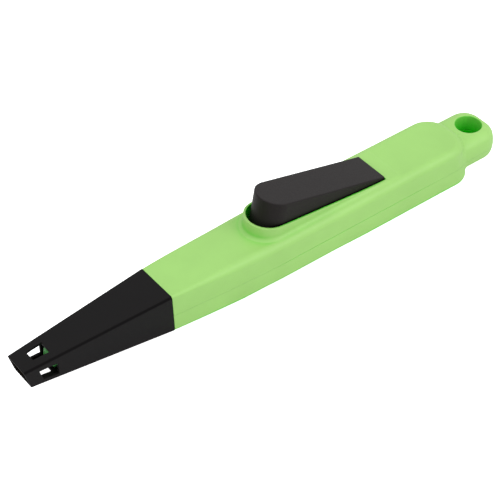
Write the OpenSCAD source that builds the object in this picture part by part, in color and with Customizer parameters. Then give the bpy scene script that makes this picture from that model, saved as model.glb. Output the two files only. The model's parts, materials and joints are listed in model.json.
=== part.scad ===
// Piezo spark lighter for a gas stove: a two-shell grip with a hanging lug, a tapered
// spark nozzle, a hinged thumb lever and an upright click-type igniter cartridge.
// Stations are distances along the lighter from just inside the mouth of the nozzle. The
// finished part is centred along X, with its underside at z = 0.

/* [Overall] */
// Station of the hanging lug's end
length = 252.65; // [250:0.05:262]
// Width of the grip
grip_w = 28.4; // [27.6:0.1:30]
// Height of the grip's flat top above the underside
grip_h = 21.5; // [21.3:0.1:22.4]
// Wall of the two shells
shell_wall = 2; // [1.6:0.1:2.2]
// Height of the parting line between the shells
parting_z = 9.8; // [9:0.1:11]

/* [Nozzle] */
// Length of the nozzle up to its joint with the grip
nozzle_len = 68; // [66:1:70]
// Width of the mouth
mouth_w = 12.8; // [12.4:0.2:13.4]
// Height of the mouth
mouth_h = 10; // [9.6:0.2:10.4]
// How far the lower lip of the mouth is set back
mouth_rake = 2.6; // [0:0.2:3]
// Width at the joint
joint_w = 22.1; // [21.7:0.1:23]
// Height at the joint
joint_h = 20.15; // [19.75:0.05:20.25]
// Height of the nozzle's underside at the joint
joint_z = 0.9; // [0.8:0.1:1.2]
// Height of the spark axis
axis_z = 11; // [10.6:0.1:11.2]

/* [Thumb lever] */
// Station of the lever's straight rear edge
lever_rear = 183.6; // [183.2:0.2:184]
// Width of the lever
lever_w = 17.8; // [17.4:0.1:18]
// Rise of the lever's top face for each millimetre forward
lever_slope = 0.2527; // [0.245:0.0001:0.26]
// Clearance between the lever and the opening it moves in
lever_gap = 0.3; // [0.2:0.05:0.4]
// Radius of the hinge pin
pin_r = 1.5; // [1.3:0.1:1.6]

/* [Igniter] */
// Outside size of the igniter cartridge along the lighter
housing_l = 11; // [10.8:0.1:11.4]
// Outside size of the igniter cartridge across the lighter
housing_w = 10; // [9.8:0.1:10.2]
// Radius of the cartridge bore that the plunger slides in
bore_r = 3.9; // [3.8:0.05:4]
// Height of the plunger's head at rest
head_z = 27.9; // [27.7:0.1:28]

/* [Hanging lug] */
// Width of the lug
lug_w = 20.6; // [19.6:0.2:21.6]
// Radius of the hanging hole
hang_r = 6.17; // [5:0.1:6.4]

/* [Hidden] */

$fn = 40;
arc_steps = 4;          // facets in each rounded corner of a lofted section
far = 60;               // reaches past the part in any direction
touch = 0.02;           // clearance between pieces that are held together
slide = 0.08;           // radial clearance of sliding pieces

green = [0.66, 0.87, 0.49];
black = [0.17, 0.17, 0.17];
brass = [0.80, 0.62, 0.28];
steel = [0.74, 0.75, 0.77];
white_plastic = [0.90, 0.89, 0.84];
grey_plastic = [0.35, 0.37, 0.40];

// Nozzle
mouth_x = -0.25;
mouth_top = 16.65;
nozzle_wall_mouth = 1.0;
nozzle_wall_joint = 1.6;
nozzle_corner_r = 1.3;
top_window = [6.35, 13.85];     // stations of its front and rear edges
floor_window = [7.6, 13.7];
window_border = 4.2;    // from the nozzle's side to the window
side_window = [[6.45, 13.85], [7.75, 8.75], [14.75, 7.85], [14.75, 13.85]];
joint_gap = 0.1;
joint_lean = 0.035;     // the joint leans towards the mouth at its top
joint_step = 0.12;      // the shells sit this much below the nozzle's rim
spigot_fit = 0.1;
spigot_len = 11;
spigot_wall = 1.8;

// Grip
body_end = 231.6;       // at the top; the rear wall leans back below it
rear_lean = 0.2;
rear_corner_r = 11.5;
rear_start = 200;       // the leaning rear part starts behind here
rear_top_r = 3;
top_r = 3.6;
bottom_r = 1.8;
cavity_start = 73.5;
roof_z = 19.7;          // posts and cheeks reach up into the roof to here
round_end = 110;        // the edges reach their full radius here
widen_end = 124;        // the grip reaches its full width here
rise_end = 104;         // the top reaches its full height here
floor_end = 104;        // the underside has come down here
arch_h = 0.5;           // lift of the shallow arch in the underside

// Lug
lug_z0 = 2.1;
lug_z1 = 18.1;
lug_corner_r = 7.5;
lug_bulge = 2;          // how far the sides stand out at mid height
lug_top_r = 3.2;
lug_bottom_r = 5;
hole_x = 242.25;

// Opening, collar and lever
opening_r = lever_w / 2 + lever_gap;
opening_front = 125.2;  // centre of the opening's round end
opening_rear = lever_rear + lever_gap;
rim_slope = 0.0944;
lever_wall = 1.75;
lever_skirt_z = 17.6;
lever_rear_h = 23.1;    // height of the top face at the rear edge
lever_top_centre = 129.75;
lever_low_centre = 126.8;
lever_low_z = 24;
lever_peak_z = 40;
hinge_x = 180;
hinge_z = 17;
ear_r = 4;
ear_t = 1.9;
cheek_l = 7.6;          // cheeks inside the upper shell that hold the hinge pin
cheek_y = [9.3, 12.2];
pin_socket_y = 11.9;
pin_post_y = [9.7, 11.8];

// Fasteners: stations and offsets of the case screws
screws = [[98, 0], [205, -7.5], [205, 7.5]];
screw_r = 1.3;
screw_head_r = 2.4;
screw_seat_z = 3;
screw_tip_z = 15.5;
upper_post_r = 3;
lower_post_r = 3.4;

// Igniter cartridge, upright on the lower shell's floor
ign_x = 150;
floor_z = 2;
fence_t = 1.2;          // low walls round the cartridge's foot
fence_top = 6.5;
base_top = 4.2;
plug_top = 4.8;
housing_top = 18.4;
pad_top = 5.3;
piezo_top = 10.3;
anvil_top = 11.7;
core_r = 2.05;          // piezo element, anvil and hammer
sleeve_r = 2.75;
sleeve_top = 15.8;
hammer_gap = 2.2;       // the hammer's strike travel
hammer_h = 4;
pin_z = 15.6;
cross_pin_r = 0.6;
plunger_rim = 16.1;
stroke = 4.9;
head_t = 1.5;
ceiling_z = 25.6;
tongue_z = 10.6;
leaf_t = 0.4;

// Wiring
wire_r = 1.1;
wire_z = 4.5;
wire_y = -5.5;
wire_start = 60;
wire_end = 137.5;
core_wire_r = 0.35;

function mix(a, b, t) = a + (b - a) * t;
function clamp01(t) = min(1, max(0, t));
function smooth(t) = let (u = clamp01(t)) u * u * (3 - 2 * u);
function fade(x, x0, x1, power) = pow(1 - clamp01((x - x0) / (x1 - x0)), power);

// One rounded corner, as [y, z] points
function corner(cy, cz, r, a0) =
    [for (i = [0:arc_steps]) let (a = a0 + 90 * i / arc_steps) [cy + r * cos(a), cz + r * sin(a)]];

// A rounded rectangle across the lighter, at station x
function ring(x, w, z0, z1, rb, rt) = [for (p = concat(
    corner(rb - w, z0 + rb, rb, 180), corner(w - rb, z0 + rb, rb, 270),
    corner(w - rt, z1 - rt, rt, 0), corner(rt - w, z1 - rt, rt, 90))) [x, p[0], p[1]]];

// Nozzle section, inset by d on every side
function nozzle_ring(x, d = 0) = let (t = x / nozzle_len) ring(x,
    mix(mouth_w, joint_w, t) / 2 - d,
    mix(mouth_top - mouth_h - 0.15, joint_z, t) + d,
    mix(mouth_top, joint_z + joint_h, t) - d,
    max(0.35, nozzle_corner_r - d / 2), max(0.35, nozzle_corner_r - d / 2));
function nozzle_wall(x) = mix(nozzle_wall_mouth, nozzle_wall_joint, x / nozzle_len);

// Grip section, inset by d on every side
function body_half_w(x) =
    grip_w / 2 - (grip_w - joint_w + 2 * joint_step) / 2 * fade(x, nozzle_len, widen_end, 1.3);
function body_top(x) =
    grip_h - (grip_h - joint_z - joint_h + joint_step) * fade(x, nozzle_len, rise_end, 1.3);
function body_bottom(x) = (joint_z + joint_step) * fade(x, nozzle_len, floor_end, 1.25)
    + arch_h * smooth((x - 100) / 18) * (1 - smooth((x - 150) / 22));
function rear_arc(x, r, d) = let (u = max(0, x - (body_end - r)), rr = max(0.4, r - d))
    rr - sqrt(max(0, rr * rr - u * u));
function body_ring(x, d = 0) = let (
    t = smooth((x - nozzle_len) / (round_end - nozzle_len)),
    w = body_half_w(x) - d - rear_arc(x, rear_corner_r, d),
    rt = mix(nozzle_corner_r, top_r, t),
    rb = mix(nozzle_corner_r, bottom_r, t),
    lean = x > rear_start ? rear_lean : 0)
    [for (p = ring(x, w, body_bottom(x) + d + rear_arc(x, bottom_r, d), body_top(x) - d - rear_arc(x, rear_top_r, d),
        max(0.4, rb - d), max(0.5, min(rt - d, w - 0.3)))) [p[0] + lean * (grip_h - p[2]), p[1], p[2]]];
function body_stations(x0, x1) = concat([x0],
    [for (x = [75, 83, 91, 98, 104, 110, 117, 125, 150, 158, 165, 172]) if (x > x0 + 1) x],
    [for (a = [0, 20, 38, 54, 68, 80, 90]) mix(body_end - rear_corner_r, x1, sin(a))]);

// A closed solid through a list of rings, from low to high station
module loft(rings) {
    n = len(rings[0]);
    m = len(rings);
    polyhedron([for (r = rings) for (p = r) p], concat(
        [[for (i = [0:n - 1]) i]],
        [[for (i = [n - 1:-1:0]) (m - 1) * n + i]],
        [for (k = [0:m - 2]) for (i = [0:n - 1]) let (j = (i + 1) % n) [k * n + i, (k + 1) * n + i, (k + 1) * n + j]],
        [for (k = [0:m - 2]) for (i = [0:n - 1]) let (j = (i + 1) % n) [k * n + i, (k + 1) * n + j, k * n + j]]));
}

// A profile, as [across, up] points, carried along a path
function unit(v) = v / norm(v);
module sweep(path, profile) {
    last = len(path) - 1;
    loft([for (i = [0:last])
        let (t = unit(path[min(last, i + 1)] - path[max(0, i - 1)]), u = unit(cross([0, 0, 1], t)), v = cross(t, u))
        [for (p = profile) path[i] + p[0] * u + p[1] * v]]);
}
function round_profile(r, n) = [for (i = [0:n - 1]) r * [cos(360 * i / n), sin(360 * i / n)]];
function flat_profile(w, t) = [[-w / 2, -t / 2], [w / 2, -t / 2], [w / 2, t / 2], [-w / 2, t / 2]];

// A compression spring with closed ends, standing on z0
module coil(z0, z1, r, wire, turns) {
    per_turn = 14;
    steps = turns * per_turn;
    rise = z1 - z0 - 2 * wire;
    sweep([for (i = [0:steps]) let (a = 360 * i / per_turn, t = clamp01((i / per_turn - 0.75) / (turns - 1.5)))
        [r * cos(a), r * sin(a), z0 + wire + rise * t]], round_profile(wire, 6));
}

// Centres the stations along X
module in_frame() translate([-(mouth_x + length) / 2, 0, 0]) children();
module along_x(x, z = axis_z) translate([x, 0, z]) rotate([0, 90, 0]) children();
module across_y(x, z) translate([x, 0, z]) rotate([90, 0, 0]) children();
module side_cut(points, w = far) rotate([90, 0, 0]) linear_extrude(w, center = true) polygon(points);
// The joint between nozzle and grip, as a station at height z
function joint_x(z) = nozzle_len - joint_lean * (z - axis_z);
module box(x0, x1, y0, y1, z0, z1) translate([x0, y0, z0]) cube([x1 - x0, y1 - y0, z1 - z0]);
// A straight-sided outline with a round front, as [x, y] points
function tongue_outline(centre, r, rear) =
    concat([[rear, -r]], [for (a = [270:-12:90]) [centre + r * cos(a), r * sin(a)]], [[rear, r]]);

// ---------------------------------------------------------------- nozzle
module nozzle() {
    function lip(z) = mouth_x + mouth_rake * (mouth_top - z) / mouth_h;
    front = mouth_x - 2;
    back = nozzle_len + 2;
    color(black) in_frame() difference() {
        loft([nozzle_ring(front), nozzle_ring(back)]);
        loft([nozzle_ring(front - 1, nozzle_wall(front - 1)), nozzle_ring(back + 1, nozzle_wall(back + 1))]);
        side_cut([[front - 2, -1], [lip(-1), -1], [lip(24), 24], [front - 2, 24]]);
        side_cut([[joint_x(-1), -1], [back + 2, -1], [back + 2, 24], [joint_x(24), 24]]);
        window(top_window, axis_z, far);
        window(floor_window, -1, axis_z);
        side_cut(side_window);
    }
}
// A vent window through the roof or the floor of the nozzle; it follows the taper
module window(span, z0, z1) {
    function half(x) = mix(mouth_w, joint_w, x / nozzle_len) / 2 - window_border;
    translate([0, 0, z0]) linear_extrude(z1 - z0)
        polygon([for (q = [[0, -1], [1, -1], [1, 1], [0, 1]]) [span[q[0]], q[1] * half(span[q[0]])]]);
}

// ---------------------------------------------------------------- shells
module skin() {
    spigot_d = nozzle_wall_joint + spigot_fit;
    spigot_front = nozzle_len - spigot_len;
    spigot_back = nozzle_len + 2;
    difference() {
        union() {
            difference() {
                union() {
                    loft([for (x = body_stations(nozzle_len - 1, body_end)) body_ring(x)]);
                    lug();
                }
                side_cut([[spigot_front, -1], [joint_x(-1) + joint_gap, -1], [joint_x(24) + joint_gap, 24], [spigot_front, 24]]);
            }
            loft([nozzle_ring(spigot_front, spigot_d), nozzle_ring(spigot_back, spigot_d)]);
        }
        loft(concat(
            [for (x = [spigot_front - 1, spigot_back]) nozzle_ring(x, spigot_d + spigot_wall)],
            [for (x = body_stations(cavity_start, body_end - shell_wall)) body_ring(x, shell_wall)]));
        translate([hole_x, 0, -1]) cylinder(h = 30, r = hang_r);
    }
}
// The lug that the lighter hangs by, with bulging sides and rounded edges
module lug() {
    root = 223.3;
    levels = 12;
    mid = (lug_z0 + lug_z1) / 2;
    function edge_inset(h, r) = h < r ? r - sqrt(r * r - (r - h) * (r - h)) : 0;
    function inset(z) = edge_inset(z - lug_z0, lug_bottom_r) + edge_inset(lug_z1 - z, lug_top_r)
        + lug_bulge * pow((z - mid) / (lug_z1 - mid), 2);
    // One level of the stack
    function outline(z) = let (d = inset(z), w = lug_w / 2 + lug_bulge, r = lug_corner_r + lug_bulge) [for (p = concat(
        [[root, d - w]],
        [for (q = [[-1, 270], [1, 0]]) for (i = [0:5]) let (a = q[1] + 18 * i)
            [length - r + (r - d) * cos(a), q[0] * (w - r) + (r - d) * sin(a)]],
        [[root, w - d]])) [p[0], p[1], z]];
    loft([for (i = [0:levels]) outline(mid - (lug_z1 - lug_z0) / 2 * cos(180 * i / levels))]);
}
module collar() {
    function rim(x) = grip_h + rim_slope * (opening_rear - x);
    foot_z = roof_z + 0.1;
    peak_z = 29;
    rear = opening_rear + 2;
    intersection() {
        hull() {
            translate([0, 0, foot_z]) linear_extrude(0.1) polygon(tongue_outline(opening_front - 1.1, opening_r + 1.05, rear));
            translate([0, 0, peak_z]) linear_extrude(0.1) polygon(tongue_outline(opening_front, opening_r + 0.95, rear));
        }
        side_cut([[100, 0], [200, 0], [200, rim(200)], [100, rim(100)]]);
    }
}
module opening() {
    translate([0, 0, hinge_z]) linear_extrude(far) polygon(tongue_outline(opening_front, opening_r, opening_rear));
}
module upper_shell() {
    color(green) in_frame() difference() {
        union() {
            difference() {
                skin();
                box(40, length + 5, -far, far, -far, parting_z);
            }
            collar();
            for (side = [-1, 1]) mirrored(side)
                box(hinge_x - cheek_l / 2, hinge_x + cheek_l / 2, cheek_y[0], cheek_y[1], hinge_z - 3.6, roof_z);
            for (s = screws) translate([s[0], s[1], parting_z]) cylinder(h = roof_z - parting_z, r = upper_post_r);
        }
        opening();
        for (side = [-1, 1]) mirrored(side) {
            translate([hinge_x, pin_socket_y, hinge_z]) rotate([90, 0, 0]) cylinder(h = 4, r = pin_r + touch);
            box(hinge_x - pin_r - touch, hinge_x + pin_r + touch, pin_socket_y - 4, pin_socket_y, 12, hinge_z);
        }
        for (s = screws) translate([s[0], s[1], parting_z - 1]) cylinder(h = screw_tip_z - parting_z + 1.5, r = screw_r + touch);
    }
}
module mirrored(side) if (side < 0) mirror([0, 1, 0]) children(); else children();

module lower_shell() {
    color(green) in_frame() difference() {
        union() {
            difference() {
                skin();
                box(40, length + 5, -far, far, parting_z, far);
            }
            for (s = screws) translate([s[0], s[1], 1]) cylinder(h = parting_z - 1, r = lower_post_r);
            for (side = [-1, 1]) mirrored(side)
                box(hinge_x - 1.4, hinge_x + 1.4, pin_post_y[0], pin_post_y[1], 1, hinge_z - pin_r - touch);
            for (x = [ign_x - housing_l / 2 - fence_t - 0.1, ign_x + housing_l / 2 + 0.1])
                box(x, x + fence_t, -4.9, 3.9, 1, fence_top);
            box(ign_x - 4, ign_x + 4, -housing_w / 2 - fence_t - 0.1, -housing_w / 2 - 0.1, 1, fence_top);
        }
        for (s = screws) translate([s[0], s[1], -1]) {
            cylinder(h = 12, r = screw_r + 0.15);
            cylinder(h = screw_seat_z + 1, r = screw_head_r + 0.2);
        }
        box(ign_x - housing_l / 2 - 2, ign_x, -1.7, 1.7, floor_z, fence_top + 0.5);
        box(ign_x - housing_l / 2 - 0.1, ign_x + housing_l / 2 + 0.1, -housing_w / 2 - 0.1, housing_w / 2 + 0.1,
            floor_z, floor_z + 1);
    }
}

// ---------------------------------------------------------------- lever and hinge
module lever_solid(d = 0) {
    r = lever_w / 2 - d;
    hull() {
        translate([0, 0, lever_skirt_z - d]) linear_extrude(lever_low_z - lever_skirt_z)
            polygon(tongue_outline(lever_low_centre, r, lever_rear - d));
        translate([0, 0, lever_peak_z]) linear_extrude(0.1)
            polygon(tongue_outline(lever_top_centre, r, lever_rear - d));
    }
}
module thumb_lever() {
    function top(x) = lever_rear_h + lever_slope * (lever_rear - x);
    rib_r = 1.5;
    lip_x = opening_front - opening_r - 1.6;    // the lip keeps the lever under the opening's rim
    lip_top = 18.95;
    color(black) in_frame() difference() {
        union() {
            difference() {
                intersection() {
                    lever_solid();
                    side_cut([[100, 0], [200, 0], [200, top(200)], [100, top(100)]]);
                }
                intersection() {
                    lever_solid(lever_wall);
                    side_cut([[100, 0], [200, 0], [200, top(200) - lever_wall], [100, top(100) - lever_wall]]);
                }
            }
            for (side = [-1, 1]) mirrored(side)
                translate([hinge_x, lever_w / 2, hinge_z]) rotate([90, 0, 0]) cylinder(h = ear_t, r = ear_r);
            across_y(ign_x, head_z + 0.03 + rib_r) cylinder(h = lever_w - 1.4, r = rib_r, center = true);
            box(lip_x, lip_x + 4, -5, 5, lever_skirt_z - 0.2, lip_top);
        }
        across_y(hinge_x, hinge_z) cylinder(h = far, r = pin_r + 0.06, center = true);
        box(lever_rear - 1.9, lever_rear + 1, -far, far, 0, hinge_z + 2.6);
    }
}
module hinge_pin() {
    pin_half = 11.3;
    color(steel) in_frame() across_y(hinge_x, hinge_z) {
        cylinder(h = 2 * pin_half, r = pin_r, center = true);
        for (end = [0, 180]) rotate([end, 0, 0]) translate([0, 0, pin_half]) cylinder(h = 0.4, r1 = pin_r, r2 = pin_r - 0.4);
    }
}
module case_screws() {
    color(steel) in_frame() for (s = screws) translate([s[0], s[1], 0]) difference() {
        union() {
            translate([0, 0, screw_seat_z - 1.7]) cylinder(h = 1.7, r = screw_head_r);
            translate([0, 0, screw_seat_z - 0.5]) cylinder(h = screw_tip_z - screw_seat_z - 1, r = screw_r);
            translate([0, 0, screw_tip_z - 1.5]) cylinder(h = 1.5, r1 = screw_r, r2 = 0.3);
        }
        for (a = [0, 90]) rotate([0, 0, a]) translate([-1.5, -0.3, 0]) cube([3, 0.6, screw_seat_z - 0.8]);
    }
}

// ---------------------------------------------------------------- spark path
module electrode_holder() {
    holder_r = 4.4;
    strip_z = 8.6;
    color(green) in_frame() difference() {
        union() {
            along_x(14.1) cylinder(h = 0.9, r1 = 3, r2 = holder_r);
            along_x(15) cylinder(h = 41, r = holder_r);
            for (x = [[24, 25.6], [40, 41.6], [53.6, nozzle_len - spigot_len - 0.1]])
                loft([nozzle_ring(x[0], nozzle_wall(x[0]) + 0.12), nozzle_ring(x[1], nozzle_wall(x[1]) + 0.12)]);
            along_x(55) cylinder(h = 13, r = 2.6);
        }
        along_x(10) cylinder(h = wire_start - 10, r = 0.8 + touch);
        along_x(wire_start - 0.1) cylinder(h = 20, r = wire_r + 0.05);
        box(13, 57.5, 3, 5, 0, strip_z);
    }
}
module electrode_pin() {
    color(steel) in_frame() {
        along_x(8.4) cylinder(h = 0.9, r1 = 0.2, r2 = 0.8);
        along_x(9.3) cylinder(h = wire_start - 9.4, r = 0.8);
    }
}
module spark_ring() {
    x0 = 3.4;
    x1 = 5.8;
    function gap(x) = nozzle_wall(x) + 0.05;
    color(brass) in_frame() difference() {
        loft([for (x = [x0, x1]) nozzle_ring(x, gap(x))]);
        loft([for (x = [x0 - 1, x1 + 1]) nozzle_ring(x, gap(x) + leaf_t)]);
    }
}
module ground_strip() {
    nose_end = 70;
    color(brass) in_frame() sweep(concat(
        [[4.2, 4, 8.02], [nose_end, 4, 6.6]],
        [for (x = [74:4:102]) let (t = smooth((x - nose_end) / 32)) [x, mix(4, 8.2, t), mix(6.6, 3, t)]],
        [for (x = [140:2:148]) let (t = smooth((x - 140) / 8)) [x, mix(8.2, 6.1, t), 3]], [[152, 6.1, 3]]),
        flat_profile(1.6, leaf_t));
}
module ground_contact() {
    y = housing_w / 2 + 0.05;
    color(brass) in_frame() {
        box(ign_x - 1, ign_x + 1, y, y + leaf_t, 3.22, tongue_z + leaf_t);
        box(ign_x - 1, ign_x + 1, y, y + 1.6, 3.22, 3.22 + leaf_t);
        box(ign_x - 1, ign_x + 1, core_r + touch, y + leaf_t, tongue_z, tongue_z + leaf_t);
    }
}
function wire_path(x0, x1) = [for (i = [0:24]) let (x = mix(x0, x1, i / 24),
    down = smooth((x - 68) / 24), back = smooth((x - 104) / 22))
    [x, wire_y * (down - back), mix(axis_z, wire_z, down)]];
module hv_wire_jacket() {
    color("firebrick") in_frame() difference() {
        sweep(wire_path(wire_start, wire_end), round_profile(wire_r, 14));
        sweep(concat([[wire_start - 1, 0, axis_z]], wire_path(wire_start, wire_end), [[wire_end + 1, 0, wire_z]]),
            round_profile(core_wire_r + touch, 10));
    }
}
module hv_wire_core() {
    color([0.85, 0.50, 0.30]) in_frame() sweep(
        concat(wire_path(wire_start, wire_end), [[wire_end + 1.2, 0, wire_z]]), round_profile(core_wire_r - touch, 10));
}
module hv_terminal() {
    color(brass) in_frame() {
        box(138, ign_x + 1.2, -1.5, 1.5, 2.9, 3.3);
        translate([ign_x, 0, 3.1]) cylinder(h = plug_top - 3.1, r = 0.8);
        difference() {
            along_x(134.5, wire_z) cylinder(h = 4.4, r = 1.55);
            along_x(134, wire_z) cylinder(h = 6, r = wire_r + 0.05);
        }
    }
}

// ---------------------------------------------------------------- igniter cartridge
module at_igniter() in_frame() translate([ign_x, 0, 0]) children();
module cartridge_block(z0, z1) translate([-housing_l / 2, -housing_w / 2, z0]) cube([housing_l, housing_w, z1 - z0]);

module igniter_base() {
    color(grey_plastic) at_igniter() difference() {
        union() {
            cartridge_block(floor_z + touch, base_top);
            translate([0, 0, base_top - 0.5]) cylinder(h = plug_top - base_top + 0.5, r = bore_r - touch);
        }
        box(-far, 1.3, -1.5 - touch, 1.5 + touch, 2.9 - touch, 3.3 + touch);
        translate([0, 0, 3]) cylinder(h = 3, r = 0.8 + touch);
    }
}
module igniter_housing() {
    color(white_plastic) at_igniter() difference() {
        cartridge_block(base_top + touch, housing_top);
        translate([0, 0, base_top - 1]) cylinder(h = 20, r = bore_r);
        box(-4.8, 4.8, -cross_pin_r - 0.1, cross_pin_r + 0.1, pin_z - cross_pin_r - hammer_gap - 0.1, pin_z + cross_pin_r + 0.1);
        box(-1.2, 1.2, 0, far, tongue_z - 0.2, tongue_z + leaf_t + 0.2);
    }
}
module piezo_sleeve() {
    color(grey_plastic) at_igniter() difference() {
        union() {
            translate([0, 0, plug_top + touch]) cylinder(h = sleeve_top - plug_top - touch, r = sleeve_r);
            translate([0, 0, plug_top + touch]) cylinder(h = 0.8, r = bore_r - touch);
        }
        translate([0, 0, plug_top - 1]) cylinder(h = 20, r = core_r + slide);
        box(-far, far, -cross_pin_r - 0.1, cross_pin_r + 0.1, pin_z - cross_pin_r - hammer_gap - 0.1, far);
        box(-1.2, 1.2, 0, far, tongue_z - 0.2, tongue_z + leaf_t + 0.2);
    }
}
module stack_disc(z0, z1, r = core_r) translate([0, 0, z0]) cylinder(h = z1 - z0, r = r);
module contact_pad() color(brass) at_igniter() stack_disc(plug_top + touch, pad_top);
module piezo_element() color([0.93, 0.90, 0.80]) at_igniter() stack_disc(pad_top, piezo_top, core_r - 0.1);
module anvil() {
    color(steel) at_igniter() {
        stack_disc(piezo_top, anvil_top - 0.4);
        translate([0, 0, anvil_top - 0.4]) cylinder(h = 0.4, r1 = core_r, r2 = core_r - 0.6);
    }
}
module hammer() {
    z0 = anvil_top + hammer_gap + 0.02;
    color(steel) at_igniter() difference() {
        union() {
            translate([0, 0, z0]) cylinder(h = 0.5, r1 = core_r - 0.6, r2 = core_r);
            stack_disc(z0 + 0.5, z0 + hammer_h - 0.6);
            stack_disc(z0 + hammer_h - 0.6, z0 + hammer_h, core_r - 0.7);
        }
        translate([0, 0, pin_z]) rotate([0, 90, 0]) cylinder(h = far, r = cross_pin_r + touch, center = true);
    }
}
module hammer_pin() {
    color(steel) at_igniter() translate([0, 0, pin_z]) rotate([0, 90, 0]) cylinder(h = 9.2, r = cross_pin_r, center = true);
}
module hammer_spring() color(steel) at_igniter() coil(anvil_top + hammer_gap + hammer_h - 0.55, ceiling_z, core_r - 0.3, 0.22, 6.5);
module return_spring() color(steel) at_igniter() coil(housing_top + 0.02, head_z - head_t, bore_r + 0.35, 0.25, 5.5);
module plunger() {
    slot = cross_pin_r + 0.12;
    color(white_plastic) at_igniter() difference() {
        union() {
            stack_disc(plunger_rim, head_z - 0.5, bore_r - slide);
            translate([0, 0, head_z - head_t]) cylinder(h = head_t - 0.4, r = 4.7);
            translate([0, 0, head_z - 0.4]) cylinder(h = 0.4, r1 = 4.7, r2 = 4.3);
        }
        translate([0, 0, plunger_rim - 1]) cylinder(h = ceiling_z - plunger_rim + 1, r = sleeve_r + 0.1);
        box(-far, far, -slot, slot, plunger_rim - 1, pin_z + cross_pin_r + stroke + 0.3);
    }
}

nozzle();
upper_shell();
lower_shell();
thumb_lever();
hinge_pin();
case_screws();
electrode_holder();
electrode_pin();
spark_ring();
ground_strip();
ground_contact();
hv_wire_jacket();
hv_wire_core();
hv_terminal();
igniter_base();
igniter_housing();
piezo_sleeve();
contact_pad();
piezo_element();
anvil();
hammer();
hammer_pin();
hammer_spring();
return_spring();
plunger();
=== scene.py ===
import json
import math

import bpy
import numpy as np
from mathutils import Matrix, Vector


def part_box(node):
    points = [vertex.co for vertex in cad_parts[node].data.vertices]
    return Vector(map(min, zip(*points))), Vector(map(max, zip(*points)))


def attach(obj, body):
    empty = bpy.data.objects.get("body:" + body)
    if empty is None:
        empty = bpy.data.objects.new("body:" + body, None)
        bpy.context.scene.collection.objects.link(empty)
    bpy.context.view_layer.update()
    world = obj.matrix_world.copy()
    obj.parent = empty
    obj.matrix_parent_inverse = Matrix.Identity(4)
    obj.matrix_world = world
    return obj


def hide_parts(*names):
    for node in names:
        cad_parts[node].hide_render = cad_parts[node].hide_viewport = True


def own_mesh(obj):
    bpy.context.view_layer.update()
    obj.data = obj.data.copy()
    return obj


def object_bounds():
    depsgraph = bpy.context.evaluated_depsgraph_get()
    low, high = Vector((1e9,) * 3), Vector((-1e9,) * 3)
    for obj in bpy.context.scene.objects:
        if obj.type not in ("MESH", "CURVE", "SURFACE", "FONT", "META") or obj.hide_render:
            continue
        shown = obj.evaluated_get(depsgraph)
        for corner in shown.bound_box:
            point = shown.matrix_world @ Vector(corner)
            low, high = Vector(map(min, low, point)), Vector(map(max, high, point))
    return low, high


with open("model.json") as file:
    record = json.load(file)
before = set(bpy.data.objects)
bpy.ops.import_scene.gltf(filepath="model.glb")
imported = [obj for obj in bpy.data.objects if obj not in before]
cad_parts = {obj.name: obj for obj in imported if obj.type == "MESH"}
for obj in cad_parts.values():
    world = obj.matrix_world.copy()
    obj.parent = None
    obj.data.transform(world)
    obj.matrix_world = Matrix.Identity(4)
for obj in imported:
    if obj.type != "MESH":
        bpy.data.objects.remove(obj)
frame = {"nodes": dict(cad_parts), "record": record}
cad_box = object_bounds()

MM = 0.001
MOUTH_S = -0.25
LUG_END = 252.65
FRAME_CENTRE = (MOUTH_S + LUG_END) / 2


def cad_limits(node_name):
    """Lowest and highest corner of a CAD node, in millimetres, with x as a station."""
    low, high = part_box(node_name)
    return [Vector((p.x / MM + FRAME_CENTRE, p.y / MM, p.z / MM)) for p in (low, high)]


# ---------------------------------------------------------------- fields
def mix(a, b, t):
    return a + (b - a) * t


def ramp(x, x0, x1):
    return np.clip((x - x0) / (x1 - x0), 0, 1)


def smooth(x, x0, x1):
    t = ramp(x, x0, x1)
    return t * t * (3 - 2 * t)


def fade(x, x0, x1, power):
    return (1 - ramp(x, x0, x1)) ** power


def between(x, front, rear):
    """1 between two spans, falling smoothly to 0 across each of them."""
    return smooth(x, *front) * (1 - smooth(x, *rear))


def both(*fields):
    out = fields[0]
    for field in fields[1:]:
        out = np.maximum(out, field)
    return out


def either(*fields):
    out = fields[0]
    for field in fields[1:]:
        out = np.minimum(out, field)
    return out


def round_both(a, b, r):
    """Where both solids are, with the edge between them rounded to radius r."""
    return np.minimum(-r, np.maximum(a, b)) + np.hypot(np.maximum(r + a, 0), np.maximum(r + b, 0))


def round_either(a, b, r):
    """Both solids together, with a concave fillet of radius r between them."""
    return np.maximum(r, np.minimum(a, b)) - np.hypot(np.maximum(r - a, 0), np.maximum(r - b, 0))


def slab(v, low, high):
    return np.maximum(low - v, v - high)


def block(s, y, z, s_span, y_span, z_span):
    return both(slab(s, *s_span), slab(y, *y_span), slab(z, *z_span))


def post(s, y, z, centre, r, z_span):
    return both(np.hypot(s - centre[0], y - centre[1]) - r, slab(z, *z_span))


def tongue(s, y, centre, r, rear):
    """A straight-sided outline with a round front end."""
    reach = np.where(s < centre, np.hypot(np.minimum(s - centre, 0), y), np.abs(y))
    return both(reach - r, s - rear)


# ---------------------------------------------------------------- field to mesh
GRID_SHIFT = 0.0137     # keeps grid planes off the faces of the solids
BISECTIONS = 7
NORMAL_REACH = 0.012    # half the step that a field's gradient is measured over
CORNER_INSET = 0.22     # where normals are read: this share of the way from corner to face middle
CENTRE_PULL = 0.04      # how strongly a vertex is held to the middle of its cell's crossings


def levels(*marks):
    """Grid positions from alternating marks and steps: levels(0, 0.5, 10, 1, 30)."""
    spans = [
        np.linspace(start, end, max(1, round((end - start) / step)), endpoint=False)
        for start, step, end in zip(marks[0::2], marks[1::2], marks[2::2])
    ]
    return np.concatenate(spans + [[marks[-1]]]) + GRID_SHIFT


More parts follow.
